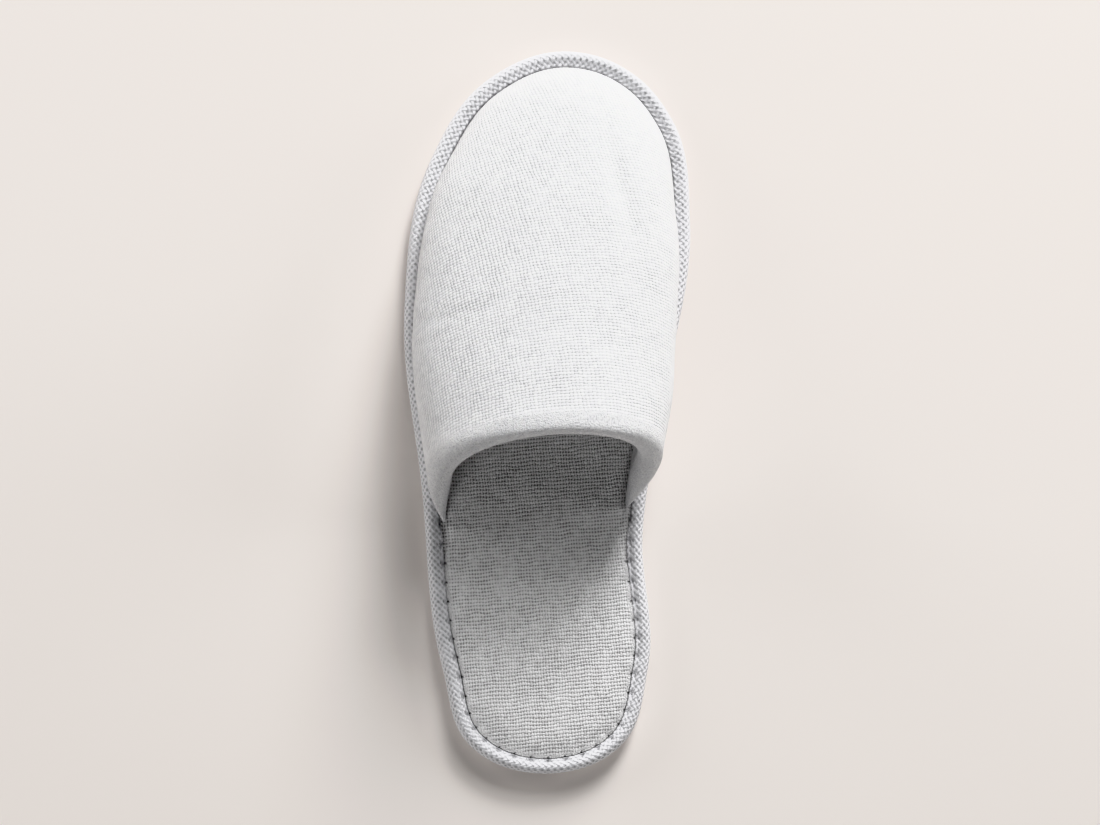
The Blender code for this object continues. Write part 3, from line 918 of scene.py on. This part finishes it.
def stitch_row(bm, height, only_free):
    """Spindles between the needle holes, at this height in the groove of the tape."""
    squeeze = (HALF_STITCH / THREAD, 1, THREAD_FLATTENING)
    spindle = small_ball(THREAD, sides=8, bands=6, squeeze=squeeze)
    count = 0
    for k in range(STITCH_COUNT):
        middle = (k + 0.5) * STITCH
        if only_free and under_vamp(middle) > SEWN_IN:
            continue
        place = from_rim(middle, tape_width(middle) + STITCH_INSET, height)
        inward = rim_inward(middle)
        turn = Matrix.Rotation(math.atan2(-inward[0], inward[1]), 4, "Z")
        copied_to(spindle, bm, Matrix.Translation(place) @ turn)
        count += 1
    return count


bm = bmesh.new()
above = stitch_row(bm, STITCH_HEIGHT["above"], only_free=True)
below = stitch_row(bm, STITCH_HEIGHT["below"], only_free=False)
stitches = finished("stitches", bm)
print(above, "stitches above,", below, "below")

# %% [markdown]
# ## Weave
#
# All four cloths are plain weaves: each thread goes over one crossing thread and under the next. In
# a shader that takes two sets of stripes. A stripe's profile is the thread's round back, and a wave
# along it lifts it over and under. Where neither thread is near there is a hole, and beside a single
# thread a gap, and both get painted shade for the shade that falls into them. One node group does
# this, with its own thread sizes in each material. Marks on the meshes say where the weave changes:
# in needle holes, which get painted shade, where nap hides it on a hem, and where one set of threads
# stands proud because the cloth is bent.

# %% Small helpers for node trees
def node(tree, kind, **settings):
    """A new node of this kind with these settings."""
    made = tree.nodes.new(kind)
    for key, value in settings.items():
        setattr(made, key, value)
    return made


def feed(tree, socket, value):
    """Links a socket to an output, or sets it to a plain value."""
    if isinstance(value, bpy.types.NodeSocket):
        tree.links.new(value, socket)
    else:
        socket.default_value = value


def calc(tree, operation, *values):
    """A Math node on sockets or numbers, as its output."""
    made = node(tree, "ShaderNodeMath", operation=operation)
    for socket, value in zip(made.inputs, values):
        feed(tree, socket, value)
    return made.outputs[0]


def noise_2d(tree, place, scale, detail):
    """A noise texture on thread coordinates, as its node."""
    noise = node(tree, "ShaderNodeTexNoise", noise_dimensions="2D")
    feed(tree, noise.inputs["Vector"], place)
    feed(tree, noise.inputs["Scale"], scale)
    feed(tree, noise.inputs["Detail"], detail)
    return noise


def pair_of(tree, first, second):
    """Two values side by side, as the place of a texture."""
    pair = node(tree, "ShaderNodeCombineXYZ")
    feed(tree, pair.inputs[0], first)
    feed(tree, pair.inputs[1], second)
    return pair.outputs[0]


def threads_of(warp_mm, weft_mm, warp_width, weft_width, slubs, wander):
    """The weave's inputs: thread spacings, how much of them a thread fills, and unevenness."""
    return {
        "Warp Pitch": warp_mm,
        "Weft Pitch": weft_mm,
        "Warp Width": warp_width,
        "Weft Width": weft_width,
        "Slubs": slubs,
        "Wander": wander,
    }


def new_group(name, inputs, outputs):
    """An empty node group with named float or vector sockets, and its input and output nodes."""
    group = bpy.data.node_groups.new(name, "ShaderNodeTree")
    for title, default in inputs.items():
        kind = "NodeSocketVector" if default is None else "NodeSocketFloat"
        socket = group.interface.new_socket(title, in_out="INPUT", socket_type=kind)
        if default is not None:
            socket.default_value = default
    for title in outputs:
        group.interface.new_socket(title, in_out="OUTPUT", socket_type="NodeSocketFloat")
    return group, node(group, "NodeGroupInput").outputs, node(group, "NodeGroupOutput").inputs


# %% The plain weave
SWAYS = ((0.13, 5.0), (0.75, 1.1))  # how fine a drift of the threads is, and its share of Wander
SLUB_SPACING = (7.31, 10.41)  # keeps the slubs of one thread unlike those of the next
SLUBS_PER_CROSSING = 0.35
MIDDLE_HEIGHT, OVER_UNDER = 0.64, 0.36  # a thread goes this much over and under its middle
HOLE_GAIN = 1.6  # makes a hole's painted shade full before its very centre


def swayed_stripes(tree, given):
    """How many threads lie before a place, in each of the two sets, with some drift."""
    parted = node(tree, "ShaderNodeSeparateXYZ")
    feed(tree, parted.inputs[0], given["Threads"])
    drifts = []
    for scale, share in SWAYS:
        drift = node(tree, "ShaderNodeSeparateColor")
        feed(tree, drift.inputs[0], noise_2d(tree, given["Threads"], scale, 1.0).outputs["Color"])
        drifts.append((drift.outputs, calc(tree, "MULTIPLY", given["Wander"], share)))
    stripes = []
    for k, pitch in enumerate(("Warp Pitch", "Weft Pitch")):
        sways = [
            calc(tree, "MULTIPLY", calc(tree, "SUBTRACT", colours[k], 0.5), reach)
            for colours, reach in drifts
        ]
        count = calc(tree, "DIVIDE", parted.outputs[k], given[pitch])
        stripes.append(calc(tree, "ADD", count, calc(tree, "ADD", *sways)))
    return stripes


def thread_back(tree, stripe, width, slubs, slub_place):
    """The round profile of one set of threads: 1 on top of a thread, 0 beside it."""
    slub = noise_2d(tree, slub_place, 1.0, 2.0).outputs["Fac"]
    thick = calc(tree, "MULTIPLY", calc(tree, "SUBTRACT", slub, 0.5), slubs)
    thick = calc(tree, "MULTIPLY_ADD", thick, 2.0, width)
    off = calc(tree, "SUBTRACT", calc(tree, "FRACT", stripe), 0.5)
    off = calc(tree, "DIVIDE", calc(tree, "MULTIPLY", calc(tree, "ABSOLUTE", off), 2.0), thick)
    back = calc(tree, "SUBTRACT", 1.0, calc(tree, "MULTIPLY", off, off))
    return calc(tree, "SQRT", calc(tree, "MAXIMUM", back, 0.0))


def make_weave():
    """The node group of a plain weave, on thread coordinates in mm."""
    inputs = {"Threads": None, **threads_of(1.2, 1.2, 0.8, 0.8, 0.3, 0.2)}
    outputs = ["Height", "Hole", "Warp Gap", "Weft Gap", "Tint"]
    tree, given, result = new_group("plain weave", inputs, outputs)
    stripes = swayed_stripes(tree, given)
    numbers = [calc(tree, "FLOOR", stripe) for stripe in stripes]
    heights, gaps = [], []
    for k, width in enumerate(("Warp Width", "Weft Width")):
        other = stripes[1 - k]
        thread = calc(tree, "MULTIPLY", numbers[k], SLUB_SPACING[k])
        slub_place = pair_of(tree, thread, calc(tree, "MULTIPLY", other, SLUBS_PER_CROSSING))
        back = thread_back(tree, stripes[k], given[width], given["Slubs"], slub_place)
        phase = calc(tree, "ADD", calc(tree, "SUBTRACT", other, 0.5), numbers[k])
        wave = calc(tree, "COSINE", calc(tree, "MULTIPLY", phase, math.pi))
        lift = calc(tree, "MULTIPLY_ADD", wave, (OVER_UNDER, -OVER_UNDER)[k], MIDDLE_HEIGHT)
        heights.append(calc(tree, "MULTIPLY", back, lift))
        gaps.append(calc(tree, "SUBTRACT", 1.0, back))
    hole = calc(tree, "MULTIPLY", calc(tree, "MULTIPLY", *gaps), HOLE_GAIN)
    tint = node(tree, "ShaderNodeTexWhiteNoise", noise_dimensions="2D")
    feed(tree, tint.inputs["Vector"], pair_of(tree, *numbers))
    feed(tree, result["Height"], calc(tree, "MAXIMUM", *heights))
    feed(tree, result["Hole"], calc(tree, "MINIMUM", hole, 1.0))
    feed(tree, result["Warp Gap"], gaps[0])
    feed(tree, result["Weft Gap"], gaps[1])
    feed(tree, result["Tint"], tint.outputs["Value"])
    return tree


WEAVE = make_weave()
print("weave group:", len(WEAVE.nodes), "nodes")

# %% [markdown]
# ## Cloth finishes
#
# The cloths are all matt, and three of them are white, so what tells them apart is how open and how
# fuzzy they are. A picture of cloth would repeat and slide over the hem. Here each material is
# worked out from the weave instead: a light tone for the threads, painted shade between them, and a
# bump of the same height. Large patches keep the openness uneven, and a fine fuzz breaks up both.
# The vamp also lets light into its foam, which softens the shade in its hollows.

# %% Helpers for finishes
def new_finish(name, values):
    """A material, its node tree and its main shader, with these of its inputs set."""
    material = bpy.data.materials.new(name)
    material.use_nodes = True
    shader = material.node_tree.nodes["Principled BSDF"]
    for title, value in values.items():
        shader.inputs[title].default_value = value
    return material, material.node_tree, shader


def mark_of(tree, name):
    """A value stored on the mesh, such as how much painted shade a place in a needle hole gets."""
    return node(tree, "ShaderNodeAttribute", attribute_name=name).outputs["Fac"]


def mixed(tree, share, a, b):
    """The value a where share is 0, b where it is 1."""
    return calc(tree, "MULTIPLY_ADD", share, calc(tree, "SUBTRACT", b, a), a)


def blended(tree, share, a, b):
    """The colour a where share is 0, b where it is 1."""
    mix = node(tree, "ShaderNodeMix", data_type="RGBA")
    feed(tree, mix.inputs["Factor"], share)
    feed(tree, mix.inputs["A"], a)
    feed(tree, mix.inputs["B"], b)
    return mix.outputs["Result"]


def two_tones(colour, darker, lighter):
    """A darker and a lighter tone of a colour."""
    return [(*[min(1.0, c * tone) for c in colour], 1) for tone in (darker, lighter)]


def bumped(tree, shader, strength, height_mm, height):
    """Lifts the finish by a height from 0 to 1, which stands for so many mm."""
    bump = node(tree, "ShaderNodeBump")
    feed(tree, bump.inputs["Strength"], strength)
    feed(tree, bump.inputs["Distance"], height_mm * MM)
    feed(tree, bump.inputs["Height"], height)
    feed(tree, shader.inputs["Normal"], bump.outputs[0])


# %% Cloth
SOFT_CLOTH = {
    "Roughness": 0.95,
    "Sheen Weight": 0.1,
    "Specular IOR Level": 0.15,
    "Subsurface Radius": (1.0, 1.0, 1.0),
    "Subsurface Scale": 3 * MM,
}
FUZZ, PATCHES, NAP = (2.0, 3.0), (0.11, 3.0), (1.7, 4.0)  # each grain's scale per mm, and its detail
FUZZY, PATCHY = (0.9, 0.55), (1.6, 0.2)  # how much a grain varies the painted gap shade, and its least share
RIDGED_HOLES = 0.4  # how much of a hole still shows where the warp stands proud
NAP_DIP_SHADE = 2.2  # how deep the painted shade in the dips of the nap is
NAP_HEIGHT, FUZZ_HEIGHT = 2.6, 0.35  # over the height of the threads
# painted shade for needle holes, grooves and the seam under the vamp
PAINTED_SHADE_COLOUR = (0.03, 0.03, 0.03, 1)


def painted_shade_between(tree, group, shown, ridged, patches, fuzz):
    """How much of the painted shade between the threads shows at each place."""
    if ridged is not None:
        in_holes, by_warp, by_weft = shown
        in_holes = mixed(tree, ridged, in_holes, RIDGED_HOLES * in_holes)
        shown = in_holes, mixed(tree, ridged, 0.0, by_warp), mixed(tree, ridged, by_weft, 0.0)
    depth = 0.0
    for title, share in zip(("Hole", "Warp Gap", "Weft Gap"), shown):
        depth = calc(tree, "MULTIPLY_ADD", group.outputs[title], share, depth)
    for grain, (gain, least) in ((patches, PATCHY), (fuzz, FUZZY)):
        depth = calc(tree, "MULTIPLY", depth, calc(tree, "MULTIPLY_ADD", grain, gain, least))
    return depth


def cloth(name, colour, gap_shade, shown, bump_mm, tint, weave, marks=(), through=0.0):
    """A cloth material on the piece's thread coordinates.

    The dark colour is painted shade deep between the threads. shown says how much of it shows in
    the holes, in the gaps beside the warp and in those beside the weft, and tint how unlike the
    threads are.
    through is how much of the light goes through the cloth into the foam.
    """
    material, tree, shader = new_finish(name, {**SOFT_CLOTH, "Subsurface Weight": through})
    threads = node(tree, "ShaderNodeUVMap", uv_map="threads").outputs[0]
    group = node(tree, "ShaderNodeGroup", node_tree=WEAVE)
    for title, value in {"Threads": threads, **weave}.items():
        feed(tree, group.inputs[title], value)
    fuzz, patches = (noise_2d(tree, threads, *grain).outputs["Fac"] for grain in (FUZZ, PATCHES))
    ridged = mark_of(tree, "ridged") if "ridged" in marks else None
    depth = painted_shade_between(tree, group, shown, ridged, patches, fuzz)
    height = group.outputs["Height"]
    # painted light: less of the gaps' painted shade where the tape faces the lamps
    if "shade_left_in_gaps" in marks:
        depth = calc(tree, "MULTIPLY", depth, mark_of(tree, "shade_left_in_gaps"))
    if "hem" in marks:
        hem, nap = mark_of(tree, "hem"), noise_2d(tree, threads, *NAP).outputs["Fac"]
        # painted shade in the dips of the nap, in place of the weave's
        nap_dip_shade = calc(tree, "MULTIPLY", calc(tree, "SUBTRACT", 0.5, nap), NAP_DIP_SHADE)
        depth = mixed(tree, hem, depth, calc(tree, "MAXIMUM", nap_dip_shade, 0.0))
        height = mixed(tree, hem, height, calc(tree, "MULTIPLY", nap, NAP_HEIGHT))
    shade = mixed(tree, 0.5, group.outputs["Tint"], fuzz)
    top = blended(tree, shade, *two_tones(colour, 1 - tint, 1 + tint))
    # painted shade between the threads, laid over the threads' colour
    top = blended(tree, calc(tree, "MINIMUM", depth, 1.0), top, (*gap_shade, 1))
    # painted shade in needle holes, grooves and the seam under the vamp
    if "painted_shade" in marks:
        top = blended(tree, mark_of(tree, "painted_shade"), top, PAINTED_SHADE_COLOUR)
    feed(tree, shader.inputs["Base Color"], top)
    bumped(tree, shader, 1.0, bump_mm, calc(tree, "MULTIPLY_ADD", fuzz, FUZZ_HEIGHT, height))
    return material


# %% The four cloths
WHITE = (0.91, 0.905, 0.93)
vamp_cloth = cloth(
    "vamp cloth",
    colour=WHITE,
    gap_shade=(0.42, 0.42, 0.43),
    shown=(0.36, 0.41, 0.22),
    bump_mm=0.44,
    tint=0.11,
    weave=threads_of(1.50, 1.22, 0.86, 0.86, 0.50, 0.16),
    marks=("ridged", "hem"),
    through=0.5,
)
footbed_cloth = cloth(
    "footbed cloth",
    colour=(0.94, 0.92, 0.93),
    gap_shade=(0.38, 0.37, 0.37),
    shown=(0.72, 0.08, 0.26),
    bump_mm=0.40,
    tint=0.10,
    weave=threads_of(1.13, 1.41, 0.76, 0.80, 0.6, 0.17),
    marks=("painted_shade", "hem"),
)
tape_cloth = cloth(
    "bias tape",
    colour=WHITE,
    gap_shade=(0.50, 0.50, 0.51),
    shown=(0.85, 0.38, 0.12),
    bump_mm=0.50,
    tint=0.06,
    weave=threads_of(TAPE_THREAD, TAPE_THREAD, 0.66, 0.66, 0.12, 0.0),
    marks=("ridged", "shade_left_in_gaps", "painted_shade"),
)
sole_cloth = cloth(
    "grip sole cloth",
    colour=(0.60, 0.575, 0.55),
    gap_shade=(0.36, 0.34, 0.32),
    shown=(0.9, 0.3, 0.3),
    bump_mm=0.3,
    tint=0.12,
    weave=threads_of(1.3, 1.3, 0.85, 0.85, 0.5, 0.2),
)
upper.data.materials.append(vamp_cloth)
footbed.data.materials.append(footbed_cloth)
binding.data.materials.append(tape_cloth)
outsole.data.materials.append(sole_cloth)
print("vamp cloth:", len(vamp_cloth.node_tree.nodes), "nodes")

# %% [markdown]
# Rubber dots and sewing thread are too small to show a weave. A fine grain in their colour and in a
# bump, on the piece's own coordinates, is enough to keep them from looking like smooth plastic.

# %% Dots and thread
GRAIN_TONES = (0.9, 1.08)
GRAIN_BUMP = (0.6, 0.1)  # how strong it is, and how high in mm


def plain_finish(name, colour, roughness, grain_scale):
    """A quiet finish with a fine grain, for rubber and thread."""
    material, tree, shader = new_finish(name, {"Roughness": roughness})
    grain = node(tree, "ShaderNodeTexNoise")
    feed(tree, grain.inputs["Vector"], node(tree, "ShaderNodeTexCoord").outputs["Object"])
    feed(tree, grain.inputs["Scale"], grain_scale)
    tone = blended(tree, grain.outputs["Fac"], *two_tones(colour, *GRAIN_TONES))
    feed(tree, shader.inputs["Base Color"], tone)
    bumped(tree, shader, *GRAIN_BUMP, grain.outputs["Fac"])
    return material


grip_dots.data.materials.append(plain_finish("grip rubber", (0.78, 0.76, 0.73), 0.55, 1800.0))
stitches.data.materials.append(plain_finish("seam thread", WHITE, 0.8, 4000.0))
print("last finishes:", grip_dots.data.materials[0].name, "and", stitches.data.materials[0].name)

# %% [markdown]
# ## Floor, light and camera
#
# White cloth on a plain warm-white floor shows best in raking light. A low window beyond the toe
# does most of it, with a weaker one above it: they lift the weave and leave a soft shadow in the
# throat. Weaker boxes at the sides and behind are what a pale room gives back. The Neutral view
# keeps the whites' own colour, where the standard ones would burn them out or grey them.

# %% Floor
FLOOR_COLOUR = (0.90, 0.842, 0.80, 1)
FLOOR_HALF_WIDTH = 3.0

bm = bmesh.new()
bmesh.ops.create_grid(bm, x_segments=1, y_segments=1, size=FLOOR_HALF_WIDTH)
mesh = bpy.data.meshes.new("floor")
bm.to_mesh(mesh)
bm.free()
floor = bpy.data.objects.new("floor", mesh)
bpy.context.scene.collection.objects.link(floor)
paint, _, _ = new_finish("floor paint", {"Base Color": FLOOR_COLOUR, "Roughness": 0.9})
mesh.materials.append(paint)
print("floor", floor.dimensions.x, "m wide")

# %% Light
LIGHT_DISTANCE = 2.2
LIGHTS = (
    # name, turn_deg from the toe towards the inner side, height_deg, size, watts
    ("low window", 20, 25, 0.7, 43.5),
    ("upper window", 14, 37, 0.7, 25),
    ("outer side", -62, 18, 0.9, 12.5),
    ("inner side", 76, 19, 0.9, 13),
    ("room behind, outer", -150, 20, 1.2, 11),
    ("room behind, inner", 150, 18, 1.2, 3),
    ("ceiling behind", -150, 50, 1.2, 4),
)
WORLD_COLOUR, WORLD_STRENGTH = (1, 0.99, 0.97, 1), 0.01

for name, turn_deg, height_deg, size, watts in LIGHTS:
    turn, height = math.radians(turn_deg), math.radians(height_deg)
    level = math.cos(height)
    towards = Vector((math.sin(turn) * level, math.cos(turn) * level, math.sin(height)))
    soft_box = bpy.data.lights.new(name, "AREA")
    soft_box.size = size
    soft_box.energy = watts
    light = bpy.data.objects.new(name, soft_box)
    light.location = towards * LIGHT_DISTANCE
    light.rotation_euler = towards.to_track_quat("Z", "Y").to_euler()
    bpy.context.scene.collection.objects.link(light)

world = bpy.data.worlds.new("studio")
world.use_nodes = True
world.node_tree.nodes["Background"].inputs["Color"].default_value = WORLD_COLOUR
world.node_tree.nodes["Background"].inputs["Strength"].default_value = WORLD_STRENGTH
bpy.context.scene.world = world
bpy.context.scene.view_settings.view_transform = "Khronos PBR Neutral"
print(len(LIGHTS), "soft boxes,", sum(row[-1] for row in LIGHTS), "watts")

# %% Camera
CAMERA_TARGET = Vector((0.0008, -0.0011, 0.005))
CAMERA_DISTANCE = 1.0
CAMERA_HEIGHT_DEG, CAMERA_SIDE_DEG = 87, 5  # nearly overhead, a little to the heel and the outer side
FOCAL_LENGTH, SENSOR_WIDTH = 83.05, 36.0

tilt, lean = math.radians(CAMERA_HEIGHT_DEG), math.radians(CAMERA_SIDE_DEG)
towards = Vector((-math.sin(lean), -math.cos(tilt), math.sin(tilt))).normalized()
lens = bpy.data.cameras.new("camera")
lens.lens = FOCAL_LENGTH
lens.sensor_width = SENSOR_WIDTH
camera = bpy.data.objects.new("camera", lens)
camera.location = CAMERA_TARGET + towards * CAMERA_DISTANCE
right = Vector((0, 1, 0)).cross(towards).normalized()
above_camera = towards.cross(right)
camera.rotation_euler = Matrix((right, above_camera, towards)).transposed().to_euler()
bpy.context.scene.collection.objects.link(camera)
bpy.context.scene.camera = camera
print("camera at", [round(c, 3) for c in camera.location])
